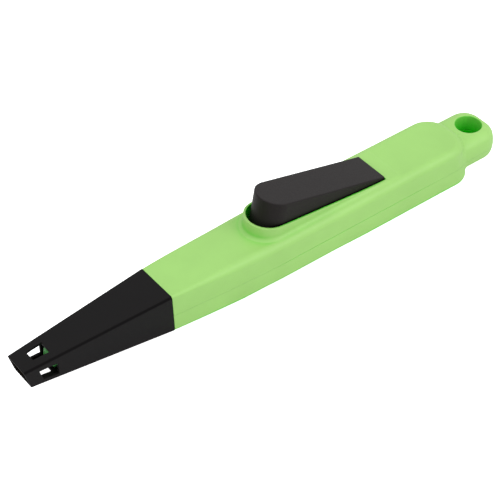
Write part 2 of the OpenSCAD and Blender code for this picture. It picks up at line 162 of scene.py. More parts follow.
def gradient(field, points):
    """Unit direction in which the field grows fastest."""
    columns = []
    for axis in range(3):
        step = np.zeros(3)
        step[axis] = NORMAL_REACH
        columns.append(field(*(points + step).T) - field(*(points - step).T))
    out = np.stack(columns, 1)
    return out / np.maximum(np.linalg.norm(out, axis=1, keepdims=True), 1e-12)


def crossings(field, grid, axes, axis):
    """Where the surface cuts the grid's edges along one axis: edge starts, points, direction."""
    inside = grid < 0
    near = [slice(None)] * 3
    ahead = [slice(None)] * 3
    near[axis] = slice(None, -1)
    ahead[axis] = slice(1, None)
    start = np.argwhere(inside[tuple(near)] != inside[tuple(ahead)])
    low = np.stack([axes[i][start[:, i]] for i in range(3)], 1)
    high = low.copy()
    high[:, axis] = axes[axis][start[:, axis] + 1]
    leaving = inside[tuple(start.T)]
    for _ in range(BISECTIONS):
        middle = (low + high) / 2
        same_side = ((field(*middle.T) < 0) == leaving)[:, None]
        low = np.where(same_side, middle, low)
        high = np.where(same_side, high, middle)
    return start, (low + high) / 2, leaving


def contour(field, *axes):
    """Dual contouring: one vertex in each cut cell, placed on the sharp or smooth surface in it."""
    grid = field(*np.meshgrid(*axes, indexing="ij"))
    cell_counts = [len(a) - 1 for a in axes]
    quads, owners, points = [], [], []
    for axis in range(3):
        start, point, leaving = crossings(field, grid, axes, axis)
        ring = []
        for back_1, back_2 in ((1, 1), (0, 1), (0, 0), (1, 0)):
            cell = start.copy()
            cell[:, (axis + 1) % 3] -= back_1
            cell[:, (axis + 2) % 3] -= back_2
            ring.append(np.ravel_multi_index(cell.T, cell_counts))
        ring = np.stack(ring, 1)
        quads.append(np.where(leaving[:, None], ring, ring[:, ::-1]))
        owners.append(ring)
        points.append(point)
    quads = np.concatenate(quads)
    owners = np.concatenate(owners)
    points = np.concatenate(points)
    normals = gradient(field, points)
    used, quads_used = np.unique(quads, return_inverse=True)
    quads = quads_used.reshape(quads.shape)
    owner = np.searchsorted(used, owners).ravel()
    point = np.repeat(points, 4, axis=0)
    normal = np.repeat(normals, 4, axis=0)

    def gather(values):
        return np.bincount(owner, values, len(used))

    count = gather(np.ones(len(owner)))
    mass = np.stack([gather(point[:, i]) for i in range(3)], 1) / count[:, None]
    offset = np.einsum("ij,ij->i", normal, point - mass[owner])
    pull = np.zeros((len(used), 3, 3))
    target = np.zeros((len(used), 3))
    for i in range(3):
        target[:, i] = gather(normal[:, i] * offset)
        for j in range(3):
            pull[:, i, j] = gather(normal[:, i] * normal[:, j])
    pull += CENTRE_PULL * np.eye(3)
    vertices = mass + np.linalg.solve(pull, target[:, :, None])[:, :, 0]
    cell = np.unravel_index(used, cell_counts)
    floor = np.stack([axes[i][cell[i]] for i in range(3)], 1)
    ceiling = np.stack([axes[i][cell[i] + 1] for i in range(3)], 1)
    return np.clip(vertices, floor, ceiling), quads


def to_frame(points):
    """Millimetres with stations to the frame's metres."""
    return (np.asarray(points, float) - [FRAME_CENTRE, 0, 0]) * MM


def add_to_scene(name, data):
    out = bpy.data.objects.new(name, data)
    bpy.context.scene.collection.objects.link(out)
    return out


def make_object(name, vertices, faces, look):
    mesh = bpy.data.meshes.new(name)
    mesh.from_pydata(to_frame(vertices).tolist(), [], [tuple(f) for f in faces])
    mesh.materials.append(MATERIALS[look])
    mesh.shade_smooth()
    return add_to_scene(name, mesh)


def stands_for(piece, node_name, body):
    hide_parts(node_name)
    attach(piece, body)


def moulding(node_name, body, field, axes, look):
    """A field's solid in place of a CAD node, inside its box and shaded with the field's normals."""
    vertices, quads = contour(field, *axes)
    vertices = np.clip(vertices, *cad_limits(node_name))
    out = make_object(node_name + "_moulding", vertices, quads.tolist(), look)
    corners = vertices[quads]
    centres = corners.mean(axis=1, keepdims=True)
    inset = mix(corners, centres, CORNER_INSET).reshape(-1, 3)
    out.data.normals_split_custom_set(gradient(field, inset).tolist())
    stands_for(out, node_name, body)


# ---------------------------------------------------------------- shared sizes
AXIS_Z = 11
PARTING_Z = 9.8
SEAM_GAP = 0.012
WALL = 2.0
HINGE = (180, 17)
PIN_R = 1.5
SCREWS = ((98, 0), (205, -7.5), (205, 7.5))
IGNITER_S = 150

# ---------------------------------------------------------------- nozzle
NOZZLE_LEN = 68
JOINT_GAP = 0.1
JOINT_LEAN = 0.035
MOUTH_HALF_W = 6.4
JOINT_HALF_W = 11.05
MOUTH_BOTTOM = 6.65
JOINT_BOTTOM = 0.9
MOUTH_TOP = 16.65
JOINT_TOP = 21.05
MOUTH_RAKE = 0.262
NOZZLE_EDGE_R = 1.3
NOZZLE_RIM_R = 0.2
NOZZLE_WALL = (1.0, 1.6)            # at the mouth and at the joint

WINDOW_EDGE_R = 0.12
WINDOW_SIDE = 4.2                   # from a side of the nozzle to the windows above and below
TOP_WINDOW = (6.35, 13.85)
BOTTOM_WINDOW = (7.6, 13.7)
SIDE_WINDOW_CORNER = (7.75, 8.75)   # station and height of its lower front corner
SIDE_WINDOW_REAR = 14.75
SIDE_WINDOW_TOP = 13.85
SIDE_WINDOW_RAKE = 0.255            # how its front edge leans towards the mouth
SIDE_WINDOW_FALL = 0.129            # how its lower edge falls away from the mouth


def nozzle_outside(s, y, z):
    t = s / NOZZLE_LEN
    side = np.abs(y) - mix(MOUTH_HALF_W, JOINT_HALF_W, t)
    top = z - mix(MOUTH_TOP, JOINT_TOP, t)
    bottom = mix(MOUTH_BOTTOM, JOINT_BOTTOM, t) - z
    return round_both(round_both(side, top, NOZZLE_EDGE_R), bottom, NOZZLE_EDGE_R)


def joint_plane(s, z):
    """Distance behind the joint, which leans towards the mouth at its top."""
    return s - NOZZLE_LEN + JOINT_LEAN * (z - AXIS_Z)


def nozzle_windows(s, y, z):
    """The windows behind the mouth: one above, one below and one across through both sides."""
    half_w = mix(MOUTH_HALF_W, JOINT_HALF_W, s / NOZZLE_LEN) - WINDOW_SIDE
    corner_s, corner_z = SIDE_WINDOW_CORNER
    low = corner_z - SIDE_WINDOW_FALL * (s - corner_s) - z
    front = corner_s - SIDE_WINDOW_RAKE * (z - corner_z) - s
    return (
        both(slab(s, *TOP_WINDOW), np.abs(y) - half_w, AXIS_Z - z),
        both(slab(s, *BOTTOM_WINDOW), np.abs(y) - half_w, z - AXIS_Z),
        both(z - SIDE_WINDOW_TOP, low, s - SIDE_WINDOW_REAR, front),
    )


def nozzle_field(s, y, z):
    outside = nozzle_outside(s, y, z)
    inside = outside + mix(*NOZZLE_WALL, s / NOZZLE_LEN)
    shell = both(outside, -inside)
    mouth = MOUTH_S + MOUTH_RAKE * (MOUTH_TOP - z) - s
    for end in (mouth, joint_plane(s, z)):
        shell = round_both(shell, end, NOZZLE_RIM_R)
    for window in nozzle_windows(s, y, z):
        shell = round_both(shell, -window, WINDOW_EDGE_R)
    return shell


# ---------------------------------------------------------------- grip and hanging lug
GRIP_END = 231.6
GRIP_HALF_W = 14.2
GRIP_TOP = 21.5
GRIP_TOP_R = 3.6
GRIP_BOTTOM_R = 1.8
REAR_LEAN = 0.2
REAR_CORNER_R = 11.5
JOINT_STEP = 0.12                       # how far the grip's front stands in from the nozzle
SIDE_FLARE = (NOZZLE_LEN, 124, 1.3)     # start, end and power of the curve that widens the grip
TOP_FLARE = (NOZZLE_LEN, 104, 1.3)
BOTTOM_FLARE = (NOZZLE_LEN, 104, 1.25)
ROUNDING = (NOZZLE_LEN, 110)            # where the long edges grow from the nozzle's radius
UNDERSIDE_ARCH = 0.5
ARCH_FRONT = (100, 118)
ARCH_REAR = (150, 172)

LUG_HALF_W = 10.3
LUG_Z = (2.1, 18.1)
LUG_BULGE = 2.0
LUG_CORNER_R = 7.5
LUG_TOP_R = 3.2
LUG_BOTTOM_R = 5
LUG_ROOT_R = 1.4
LUG_ROOT_S = 225
HOLE_S = 242.25
HOLE_R = 6.17
HOLE_EDGE_R = 0.4


def grip_outside(s, y, z):
    half_w = GRIP_HALF_W - (GRIP_HALF_W - JOINT_HALF_W + JOINT_STEP) * fade(s, *SIDE_FLARE)
    top = z - GRIP_TOP + (GRIP_TOP - JOINT_TOP + JOINT_STEP) * fade(s, *TOP_FLARE)
    arch = UNDERSIDE_ARCH * between(s, ARCH_FRONT, ARCH_REAR)
    bottom = arch + (JOINT_BOTTOM + JOINT_STEP) * fade(s, *BOTTOM_FLARE) - z
    rear = s - GRIP_END - REAR_LEAN * (GRIP_TOP - z)
    rounding = smooth(s, *ROUNDING)
    plan = round_both(np.abs(y) - half_w, rear, REAR_CORNER_R)
    out = round_both(plan, top, mix(NOZZLE_EDGE_R, GRIP_TOP_R, rounding))
    return round_both(out, bottom, mix(NOZZLE_EDGE_R, GRIP_BOTTOM_R, rounding))


def lug_field(s, y, z):
    middle = (LUG_Z[0] + LUG_Z[1]) / 2
    bulge = LUG_BULGE * (1 - ((z - middle) / (LUG_Z[1] - middle)) ** 2)
    plan = round_both(np.abs(y) - LUG_HALF_W, s - LUG_END + LUG_BULGE, LUG_CORNER_R) - bulge
    out = round_both(round_both(plan, z - LUG_Z[1], LUG_TOP_R), LUG_Z[0] - z, LUG_BOTTOM_R)
    return both(out, LUG_ROOT_S - s)


def case_outside(s, y, z):
    """Grip and lug in one, with concave fillets between them."""
    return round_either(grip_outside(s, y, z), lug_field(s, y, z), LUG_ROOT_R)


def cut_hole(shell, s, y):
    """A shell with the hanging hole through it."""
    return round_both(shell, HOLE_R - np.hypot(s - HOLE_S, y), HOLE_EDGE_R)


# ---------------------------------------------------------------- what both shells share
SEAM_BEVEL = 0.22
SEAM_BEVEL_FRONT = (105, 140)
SEAM_BEVEL_REAR = (185, 228)
SPIGOT_INSET = 1.7                  # from the nozzle's outside
SPIGOT_S = (57, 70)
BORE_INSET = 3.5                    # from the nozzle's outside
BORE_END = 75
CAVITY_START = 73.5
FLOOR_Z = 1
ROOF_Z = 19.7
PIN_FIT = 0.02


def seam_field(s, y, z, side):
    """The bevel along the parting line, on the upper (1) or lower (-1) shell."""
    depth = SEAM_BEVEL * between(s, SEAM_BEVEL_FRONT, SEAM_BEVEL_REAR)
    return (side * (PARTING_Z - z) + depth + case_outside(s, y, z)) / math.sqrt(2)


def spigot_field(s, y, z):
    """The tube in front of the joint, which carries the nozzle."""
    return both(nozzle_outside(s, y, z) + SPIGOT_INSET, slab(s, *SPIGOT_S))


def cavity_field(s, y, z):
    bore = both(nozzle_outside(s, y, z) + BORE_INSET, s - BORE_END)
    return either(both(grip_outside(s, y, z) + WALL, CAVITY_START - s), bore)


def hollow_shell(outside, s, y, z):
    """An outside cut at the joint, with the spigot added and the cavity taken out."""
    outside = both(outside, JOINT_GAP - joint_plane(s, z))
    return both(either(outside, spigot_field(s, y, z)), -cavity_field(s, y, z))


# ---------------------------------------------------------------- upper shell
OPENING_R = 9.2
OPENING_S = 125.2
OPENING_REAR = 183.9
OPENING_LOW_Z = 17
OPENING_EDGE_R = 0.22
COLLAR_RISE = 0.0944                # slope of its rim, which starts from the grip's top
COLLAR_RIM_START = 184
COLLAR_FOOT_Z = 19.8
COLLAR_LEAN_H = 9.2                 # height over which its front leans back
COLLAR_FRONT_S = (124.1, OPENING_S)
COLLAR_FRONT_R = (10.25, 10.15)
COLLAR_REAR = 190
COLLAR_EDGE_R = 0.25
COLLAR_ROOT_R = 1.6

CHEEK = ((176.2, 183.8), (9.3, 12.2), (13.4, ROOF_Z))
UPPER_POST_R = 3
UPPER_POST_Z = (PARTING_Z, ROOF_Z)
PILOT_R = 1.32
PILOT_Z = (PARTING_Z - 1, 16.2)
PIN_HALF_LEN = 11.9
PIN_SLOT_Y = (7.9, PIN_HALF_LEN)
PIN_SLOT_Z = (12, HINGE[1])


def collar_field(s, y, z):
    lean = (z - COLLAR_FOOT_Z) / COLLAR_LEAN_H
    wall = tongue(s, y, mix(*COLLAR_FRONT_S, lean), mix(*COLLAR_FRONT_R, lean), COLLAR_REAR)
    rim = GRIP_TOP + COLLAR_RISE * (COLLAR_RIM_START - s)
    return round_both(wall, z - rim, COLLAR_EDGE_R)


def hinge_cuts(s, y, z):
    """The pin's seat and the slots through which it is pushed up into it."""
    seat = both(np.hypot(s - HINGE[0], z - HINGE[1]) - PIN_R - PIN_FIT, np.abs(y) - PIN_HALF_LEN)
    slot_half = np.abs(s - HINGE[0]) - PIN_R - PIN_FIT
    return either(seat, both(slot_half, slab(np.abs(y), *PIN_SLOT_Y), slab(z, *PIN_SLOT_Z)))


def upper_shell_field(s, y, z):
    outside = round_either(case_outside(s, y, z), collar_field(s, y, z), COLLAR_ROOT_R)
    shell = hollow_shell(outside, s, y, z)
    shell = both(shell, PARTING_Z + SEAM_GAP - z, seam_field(s, y, z, 1))
    shell = either(shell, block(s, np.abs(y), z, *CHEEK))
    for centre in SCREWS:
        shell = either(shell, post(s, y, z, centre, UPPER_POST_R, UPPER_POST_Z))
    opening = both(tongue(s, y, OPENING_S, OPENING_R, OPENING_REAR), OPENING_LOW_Z - z)
    shell = round_both(shell, -opening, OPENING_EDGE_R)
    shell = both(shell, -hinge_cuts(s, y, z))
    for centre in SCREWS:
        shell = both(shell, -post(s, y, z, centre, PILOT_R, PILOT_Z))
    return cut_hole(shell, s, y)


# ---------------------------------------------------------------- lower shell
LOWER_POST_R = 3.4
LOWER_POST_Z = (FLOOR_Z, PARTING_Z - SEAM_GAP)
SCREW_BORE_R = 1.45
SCREW_BORE_Z = (-1, 11)
SCREW_HEAD_R = 2.6
SCREW_HEAD_Z = (-1, 3)
SCREW_HEAD_EDGE_R = 0.15
PIN_STOP = ((178.6, 181.4), (9.7, 11.8), (FLOOR_Z, HINGE[1] - PIN_R - PIN_FIT))

# boxes round the igniter: spans along, across and up, with the first from its axis
IGNITER_END = ((5.6, 6.8), (-4.9, 3.9), (FLOOR_Z, 6.5))
IGNITER_FENCE = ((-4, 4), (-6.3, -5.1), (FLOOR_Z, 6.5))
IGNITER_GATE = ((-7.5, 0), (-1.7, 1.7), (2, 7))
IGNITER_SEAT = ((-5.6, 5.6), (-5.1, 5.1), (2, 3))


def lower_shell_field(s, y, z):
    shell = hollow_shell(case_outside(s, y, z), s, y, z)
    shell = both(shell, z - PARTING_Z + SEAM_GAP, seam_field(s, y, z, -1))
    for centre in SCREWS:
        shell = either(shell, post(s, y, z, centre, LOWER_POST_R, LOWER_POST_Z))
    along = s - IGNITER_S
    stops = block(s, np.abs(y), z, *PIN_STOP)
    ends = block(np.abs(along), y, z, *IGNITER_END)
    shell = either(shell, stops, ends, block(along, y, z, *IGNITER_FENCE))
    for centre in SCREWS:
        shell = both(shell, -post(s, y, z, centre, SCREW_BORE_R, SCREW_BORE_Z))
        head = post(s, y, z, centre, SCREW_HEAD_R, SCREW_HEAD_Z)
        shell = round_both(shell, -head, SCREW_HEAD_EDGE_R)
    shell = both(shell, -block(along, y, z, *IGNITER_GATE), -block(along, y, z, *IGNITER_SEAT))
    return cut_hole(shell, s, y)


# ---------------------------------------------------------------- lever
LEVER_REAR = 183.6
LEVER_REAR_Z = 23.1
LEVER_RISE = 0.2527
LEVER_LEAN_Z = (24, 40)             # heights between which its round front leans back
LEVER_FRONT_S = (126.8, 129.75)
LEVER_FRONT_R = (8.85, 8.95)
LEVER_EDGE_R = 0.5
LEVER_WALL = 1.75
LEVER_SKIRT_Z = 17.6
EAR_R = 4
EAR_Y = (7, 8.9)
RIB_Z = 29.43
RIB_R = 1.5
RIB_HALF_LEN = 8.1
LIP = ((114.4, 118.4), (-5, 5), (17.4, 18.95))
PIN_PLAY = 0.06
HEEL_LEN = 1.9
HEEL_Z = 19.6


def lever_outside(s, y, z, inset=0):
    t = ramp(z, *LEVER_LEAN_Z)
    sides = tongue(s, y, mix(*LEVER_FRONT_S, t), mix(*LEVER_FRONT_R, t), math.inf)
    sides = round_both(sides, s - LEVER_REAR, LEVER_EDGE_R)
    top = (z - LEVER_REAR_Z - LEVER_RISE * (LEVER_REAR - s)) / math.hypot(1, LEVER_RISE)
    return round_both(sides + inset, top + inset, LEVER_EDGE_R)


def lever_field(s, y, z):
    hollow = lever_outside(s, y, z, LEVER_WALL)
    shell = both(lever_outside(s, y, z), -hollow, LEVER_SKIRT_Z - z)
    from_hinge = np.hypot(s - HINGE[0], z - HINGE[1])
    ear = both(from_hinge - EAR_R, slab(np.abs(y), *EAR_Y))
    rib = both(np.hypot(s - IGNITER_S, z - RIB_Z) - RIB_R, np.abs(y) - RIB_HALF_LEN)
    out = either(shell, ear, rib, block(s, y, z, *LIP))
    bore = from_hinge - PIN_R - PIN_PLAY
    heel = both(LEVER_REAR - HEEL_LEN - s, z - HEEL_Z)
    return both(out, -bore, -heel)


# ---------------------------------------------------------------- materials
NODE_SPACING = 200
MAP_SOCKETS = ("Value", "From Min", "From Max", "To Min", "To Max")
COLOUR_VARIATION = 0.04
PALE_SHARE = 0.25               # of the way to white, on edges paled for rubbing and as a painted highlight
NOISE_RANGE = (0.3, 0.7)        # what most of a noise texture's values lie between
GRAIN_DETAIL = 3
PATCH_SCALE = 55
PATCH_DETAIL = 4
GLOSS_RANGE = (-0.05, 0.06)     # how the grain changes the roughness
DULL_EDGE = 0.25                # share of the shine that dark_edges leaves
RUB_AND_HIGHLIGHT_RANGE = (0.98, 0.85)       # agreement of face and rounded normal: no paling, full paling for rubbing and painted highlight
HOLLOW_SHADE_RANGE = (0.83, 0.35)       # share of open sky where the painted hollow shade starts, and where it is full
UPWARD_RANGE = (0.2, 0.8)       # squared upward part of a normal: side face, top face
SLANT_RANGE = (0.03, 0.2)       # squared upward part times squared sideways part: flat, edge
TUNNEL_SKIN = (0.35, 0.1)       # distance from a tunnel's wall: off it, on it
TUNNEL_HEIGHTS = (LUG_Z[1], 9)
TUNNEL_SHADES = (0.45, 1)       # how much painted shade its wall takes at those heights
MATERIALS = {}


def node(tree, kind, **settings):
    """A new node, to the right of those before it."""
    out = tree.nodes.new(kind)
    out.location.x = NODE_SPACING * len(tree.nodes)
    for key, value in settings.items():
        setattr(out, key, value)
    return out


def feed(tree, source, socket):
    """Gives a socket another node's output, or a constant."""
    if isinstance(source, bpy.types.NodeSocket):
        tree.links.new(source, socket)
    else:
        socket.default_value = source


def combine(tree, operation, a, b):
    out = node(tree, "ShaderNodeMath", operation=operation)
    feed(tree, a, out.inputs[0])
    feed(tree, b, out.inputs[1])
    return out.outputs[0]


def combine_vectors(tree, operation, a, b, result="Vector"):
    out = node(tree, "ShaderNodeVectorMath", operation=operation)
    feed(tree, a, out.inputs[0])
    feed(tree, b, out.inputs[1])
    return out.outputs[result]


def mix_colours(tree, factor, a, b):
    out = node(tree, "ShaderNodeMix", data_type="RGBA")
    feed(tree, factor, out.inputs["Factor"])
    feed(tree, a, out.inputs["A"])
    feed(tree, b, out.inputs["B"])
    return out.outputs["Result"]


def noise(tree, vector, scale, detail):
    out = node(tree, "ShaderNodeTexNoise")
    feed(tree, scale, out.inputs["Scale"])
    feed(tree, detail, out.inputs["Detail"])
    feed(tree, vector, out.inputs["Vector"])
    return out.outputs["Fac"]


def map_range(tree, value, span, to_span):
    out = node(tree, "ShaderNodeMapRange")
    for key, source in zip(MAP_SOCKETS, (value, *span, *to_span)):
        feed(tree, source, out.inputs[key])
    return out.outputs["Result"]


def opaque(parts):
    """Red, green and blue, none above 1, with a full alpha after them."""
    return (*(min(1, part) for part in parts), 1)


def painted_tunnel_shade(tree, place, x, radius):
    """Painted shade for the wall of an upright round hole in the lug: 0 away from it, rising to 1 down
    on it.
    """
    level = combine_vectors(tree, "MULTIPLY", place, (1, 1, 0))
    away = combine_vectors(tree, "DISTANCE", level, (x, 0, 0), "Value")
    wall = map_range(tree, away, [radius + gap * MM for gap in TUNNEL_SKIN], (0, 1))
    height = node(tree, "ShaderNodeSeparateXYZ")
    feed(tree, place, height.inputs[0])
    down = map_range(tree, height.outputs["Z"], [z * MM for z in TUNNEL_HEIGHTS], TUNNEL_SHADES)
    return combine(tree, "MULTIPLY", wall, down)


def occlusion_shade(tree, reach, own_only):
    """Painted shade from ambient occlusion: 0 in the open, rising to 1 far into a hollow; own_only
    looks at the piece itself alone.
    """
    hollow = node(tree, "ShaderNodeAmbientOcclusion", samples=8, only_local=own_only)
    feed(tree, reach * MM, hollow.inputs["Distance"])
    return map_range(tree, hollow.outputs["AO"], HOLLOW_SHADE_RANGE, (0, 1))


def painted_shade_amount(tree, place, reach, own_shade_reach, tunnel):
    """The greatest of the painted shade amounts that are asked for."""
    depth = occlusion_shade(tree, reach, False)
    if own_shade_reach:
        depth = combine(tree, "MAXIMUM", depth, occlusion_shade(tree, own_shade_reach, True))
    if tunnel:
        depth = combine(tree, "MAXIMUM", depth, painted_tunnel_shade(tree, place, *tunnel))
    return depth


def squared_normal(tree, normal):
    """Outputs X, Y and Z with the squared parts of a normal."""
    out = node(tree, "ShaderNodeSeparateXYZ")
    feed(tree, combine_vectors(tree, "MULTIPLY", normal, normal), out.inputs[0])
    return out.outputs


def colour_rubbed_and_highlit(tree, colour, patches, paling_for_rub_and_highlight):
    """A colour that varies a little from patch to patch and pales on its edges, for rubbing and as a
    painted highlight.
    """
    dark = opaque(c * (1 - COLOUR_VARIATION) for c in colour)
    light = opaque(c * (1 + COLOUR_VARIATION) for c in colour)
    pale = opaque(mix(c, 1, PALE_SHARE) for c in colour)
    base = mix_colours(tree, map_range(tree, patches, NOISE_RANGE, (0, 1)), dark, light)
    return mix_colours(tree, paling_for_rub_and_highlight, base, pale)


def finish_material(
    name, colour, roughness=0.45, metallic=0.0, specular=0.5, grain=2600, grain_depth=0.012,
    rub_and_highlight=0.25, edge=0.25, stretch=(1, 1, 1), painted_hollow_shade=None, shade_reach=4, own_shade_reach=None,
    tunnel=None, side_shine=1.0, dark_edges=False,
):
    """A material with fine surface grain, faint colour and gloss variation, and edges paled for rubbing
    and as a painted highlight. In hollows, and inside the upright tunnel given as (x, radius), it
    turns matt and takes a painted shade colour, and then its sideways faces keep side_shine of the
    shine. dark_edges dulls edges between up and sideways."""
    material = bpy.data.materials.new(name)
    material.use_nodes = True
    tree = material.node_tree
    shader = tree.nodes["Principled BSDF"]
    place = node(tree, "ShaderNodeTexCoord").outputs["Object"]
    fine = noise(tree, combine_vectors(tree, "MULTIPLY", place, stretch), grain, GRAIN_DETAIL)
    patches = noise(tree, place, PATCH_SCALE, PATCH_DETAIL)

    rounded = node(tree, "ShaderNodeBevel", samples=6)
    feed(tree, edge * MM, rounded.inputs["Radius"])
    bump = node(tree, "ShaderNodeBump")
    feed(tree, grain_depth * MM, bump.inputs["Distance"])
    feed(tree, fine, bump.inputs["Height"])
    feed(tree, rounded.outputs["Normal"], bump.inputs["Normal"])

    normal = node(tree, "ShaderNodeNewGeometry").outputs["Normal"]
    agree = combine_vectors(tree, "DOT_PRODUCT", rounded.outputs["Normal"], normal, "Value")
    # Edges pale both for rubbing and as a painted highlight, where a rounded edge catches the light.
    edge_rub_and_highlight = map_range(tree, agree, RUB_AND_HIGHLIGHT_RANGE, (0, rub_and_highlight))
    finished = colour_rubbed_and_highlit(tree, colour, patches, combine(tree, "MULTIPLY", edge_rub_and_highlight, fine))
    # Painted shade: in hollows and down the hanging hole the colour is mixed towards a painted shade
    # colour and the shine is taken away.
    if painted_hollow_shade:
        depth = painted_shade_amount(tree, place, shade_reach, own_shade_reach, tunnel)
        finished = mix_colours(tree, depth, finished, opaque(painted_hollow_shade))
        shine = map_range(tree, depth, (0, 1), (specular, 0))
        upward = squared_normal(tree, normal)["Z"]
        kept_shine = map_range(tree, upward, UPWARD_RANGE, (side_shine, 1))
        specular = combine(tree, "MULTIPLY", shine, kept_shine)
    if dark_edges:
        squares = squared_normal(tree, normal)
        slant = combine(tree, "MULTIPLY", squares["Y"], squares["Z"])
        specular = map_range(tree, slant, SLANT_RANGE, (specular, DULL_EDGE * specular))
    gloss = map_range(tree, fine, NOISE_RANGE, [roughness + change for change in GLOSS_RANGE])

    feed(tree, finished, shader.inputs["Base Color"])
    feed(tree, metallic, shader.inputs["Metallic"])
    feed(tree, gloss, shader.inputs["Roughness"])
    feed(tree, specular, shader.inputs["Specular IOR Level"])
    feed(tree, bump.outputs["Normal"], shader.inputs["Normal"])
    MATERIALS[name] = material


BRUSHED_ALONG = (0.08, 1, 1)

# The green takes a painted shade, a dark saturated green, in hollows, at the collar's foot and down the
# hanging hole.
finish_material(
    "green_plastic", (0.295, 0.562, 0.137), 0.48, specular=0.55, rub_and_highlight=0.2, edge=0.4,
    painted_hollow_shade=(0.008, 0.60, 0.002), own_shade_reach=10, tunnel=((HOLE_S - FRAME_CENTRE) * MM, HOLE_R * MM),
)
# A darker copy of the green plastic, with the shade inside the nozzle painted into it.
finish_material("core_plastic_painted_shade", (0.07, 0.34, 0.08), 0.5, specular=0.2)
finish_material(
    "black_plastic", (0.0045, 0.004, 0.0042), 0.5, specular=0.13, grain=3400, rub_and_highlight=0.04,
    dark_edges=True,
)
# The lever turns painted black shade where it stands close to the collar's gap.
finish_material(
    "lever_plastic", (0.0125, 0.0100, 0.0102), 0.45, specular=0.22, grain=1500,
    grain_depth=0.03, rub_and_highlight=0.4, edge=0.4, painted_hollow_shade=(0, 0, 0), shade_reach=2, side_shine=0.6,
)
finish_material("steel", (0.60, 0.61, 0.63), 0.3, 1.0, stretch=BRUSHED_ALONG)
finish_material("spring_steel", (0.50, 0.51, 0.53), 0.28, 1.0)
finish_material("brass", (0.72, 0.50, 0.20), 0.32, 1.0, stretch=BRUSHED_ALONG)
finish_material("copper", (0.80, 0.38, 0.22), 0.3, 1.0)
finish_material("wire_jacket", (0.50, 0.05, 0.04), 0.42, specular=0.45)
finish_material("white_plastic", (0.80, 0.79, 0.73), 0.38)
finish_material("grey_plastic", (0.20, 0.22, 0.25), 0.5)
finish_material("piezo_ceramic", (0.78, 0.74, 0.62), 0.6, grain=5000)

# ---------------------------------------------------------------- outer pieces
SEAM_STEP = 0.15
FINE = 0.35
MEDIUM = 0.6
COARSE = 1.1
ACROSS = levels(-14.8, FINE, 14.8)

# the shells' grids along the part are closer where posts, collar, hinge and lug are
UPPER_ALONG = levels(
    56.4, 0.8, 66, 0.4, 76, COARSE, 94, MEDIUM, 111, FINE, 130, COARSE, 175, MEDIUM, 183.5, 0.3,
    187, COARSE, 201, MEDIUM, 209, COARSE, 218, FINE, 253,
)
LOWER_ALONG = levels(
    56.4, 0.8, 66, 0.4, 76, COARSE, 94, 0.4, 102, COARSE, 143, MEDIUM, 157, COARSE, 178, MEDIUM,
    182, COARSE, 201, 0.4, 209, COARSE, 218, FINE, 253,
)
moulding(
    "upper_shell", "case", upper_shell_field,
    (UPPER_ALONG, ACROSS, levels(9.2, SEAM_STEP, 10.4, FINE, 30)),
    "green_plastic",
)
moulding(
    "lower_shell", "case", lower_shell_field,
    (LOWER_ALONG, ACROSS, levels(-0.6, FINE, 9.2, SEAM_STEP, 10.1, MEDIUM, 16.4)),
    "green_plastic",
)
moulding(
    "nozzle", "case", nozzle_field,
    (levels(-1.0, 0.25, 16, COARSE, 66, 0.3, 69), levels(-11.9, 0.3, 11.9), levels(0.4, 0.3, 21.6)),
    "black_plastic",
)
moulding(
    "thumb_lever", "lever", lever_field,
    (levels(113.9, FINE, 132, MEDIUM, 182, FINE, 185.4), levels(-9.6, FINE, 9.6), levels(12, FINE, 40)),
    "lever_plastic",
)

# ---------------------------------------------------------------- springs and lead
SEATED_TURNS = 0.75     # the closed turn at each end of a spring
POINTS_PER_TURN = 40
SPRING_SIDES = 12
JACKET_R = 1.1
JACKET_SIDES = 24
LEAD_S = (60, 137.5)
LEAD_POINTS = 120
LEAD_Z = 4.5
LEAD_Y = -5.5
LEAD_DROP = (68, 92)    # from the axis to the floor and to one side
LEAD_RETURN = (104, 126)


def unit(v):
    return v / np.linalg.norm(v, axis=-1, keepdims=True)


def round_profile(r, count):
    a = np.linspace(0, math.tau, count, endpoint=False)
    return r * np.stack([np.cos(a), np.sin(a)], 1)


def sweep(name, path, profile, look):
    """A profile, as (across, up) points, carried along a path."""
    along = unit(np.gradient(path, axis=0))
    across = unit(np.cross([0, 0, 1], along))
    up = np.cross(along, across)
    count = len(profile)
    rings = path[:, None] + profile[None, :, :1] * across[:, None] + profile[None, :, 1:] * up[:, None]
    faces = []
    for i in range(len(path) - 1):
        for j in range(count):
            k = (j + 1) % count
            faces.append((i * count + j, i * count + k, (i + 1) * count + k, (i + 1) * count + j))
    last = (len(path) - 1) * count
    faces.append(tuple(range(count - 1, -1, -1)))
    faces.append(tuple(range(last, last + count)))
    return make_object(name, rings.reshape(-1, 3), faces, look)


def spring(node_name, r, wire_r, turns):
    """A compression spring with closed end turns, which the plunger squashes."""
    low, high = cad_limits(node_name)
    turn = np.linspace(0, turns, round(turns * POINTS_PER_TURN))
    climb = ramp(turn, SEATED_TURNS, turns - SEATED_TURNS)
    a = math.tau * turn
    z = mix(low.z + wire_r, high.z - wire_r, climb)
    path = np.stack([IGNITER_S + r * np.cos(a), r * np.sin(a), z], 1)
    out = sweep(node_name + "_coil", path, round_profile(wire_r, SPRING_SIDES), "spring_steel")
    stands_for(out, node_name, "case")
    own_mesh(out)


def lead():
    """The lead's jacket: down to the floor, past the front screw's post and back to the middle."""
    s = np.linspace(*LEAD_S, LEAD_POINTS)
    drop = smooth(s, *LEAD_DROP)
    back = smooth(s, *LEAD_RETURN)
    path = np.stack([s, LEAD_Y * (drop - back), mix(AXIS_Z, LEAD_Z, drop)], 1)
    jacket = sweep("lead_jacket", path, round_profile(JACKET_R, JACKET_SIDES), "wire_jacket")
    stands_for(jacket, "hv_wire_jacket", "case")


spring("hammer_spring", r=1.75, wire_r=0.22, turns=6.5)
spring("return_spring", r=4.25, wire_r=0.25, turns=5.5)
lead()

